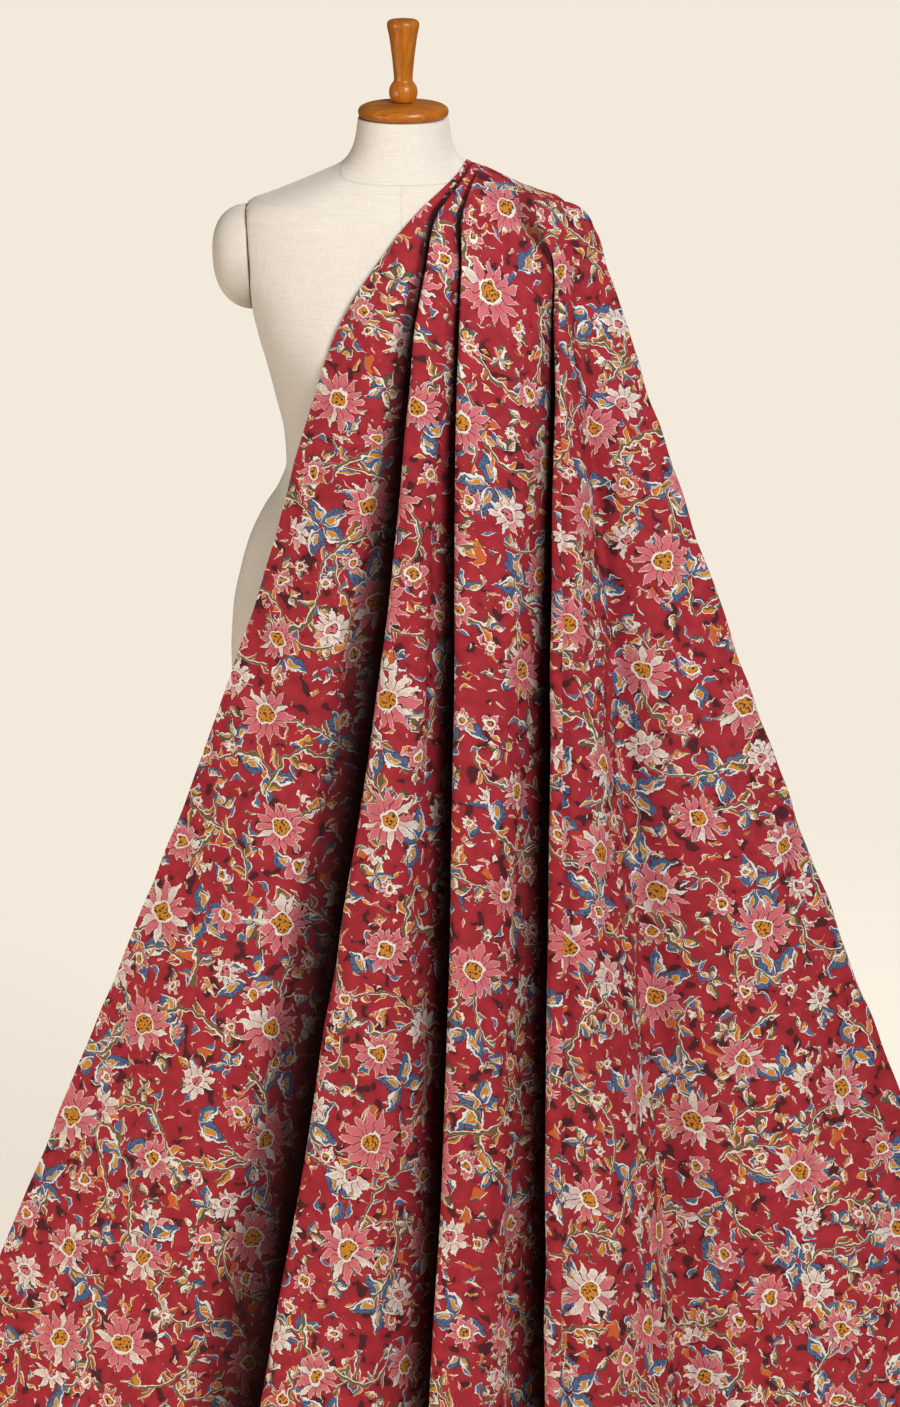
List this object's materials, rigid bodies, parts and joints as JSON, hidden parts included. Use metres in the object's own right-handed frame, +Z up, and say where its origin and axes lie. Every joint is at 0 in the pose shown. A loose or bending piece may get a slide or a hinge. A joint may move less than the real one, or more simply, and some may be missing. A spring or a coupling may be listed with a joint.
{
  "type": "draped chanderi fabric on a dress form",
  "caption": "Length of flower-printed cloth gathered at one shoulder of a linen dress form and fanning out to the floor in deep folds.",
  "frame": {"origin": "middle of the underside of the stand's foot, on the floor", "axes": "+Z up; +X towards the draped shoulder; -Y to the front, which the folds face"},
  "size_m": [1.4021, 0.5579, 1.7581],
  "materials": {
    "printed_cloth": "matt, printed",
    "linen": "matt",
    "wood": "satin varnish"
  },
  "bodies": {
    "root": {"foot": "wood", "pole": "wood", "torso": "linen", "arm_cap_bare": "linen", "arm_cap_draped": "linen", "neck_cap": "wood", "finial": "wood", "cloth": "printed_cloth"}
  },
  "joints": []
}
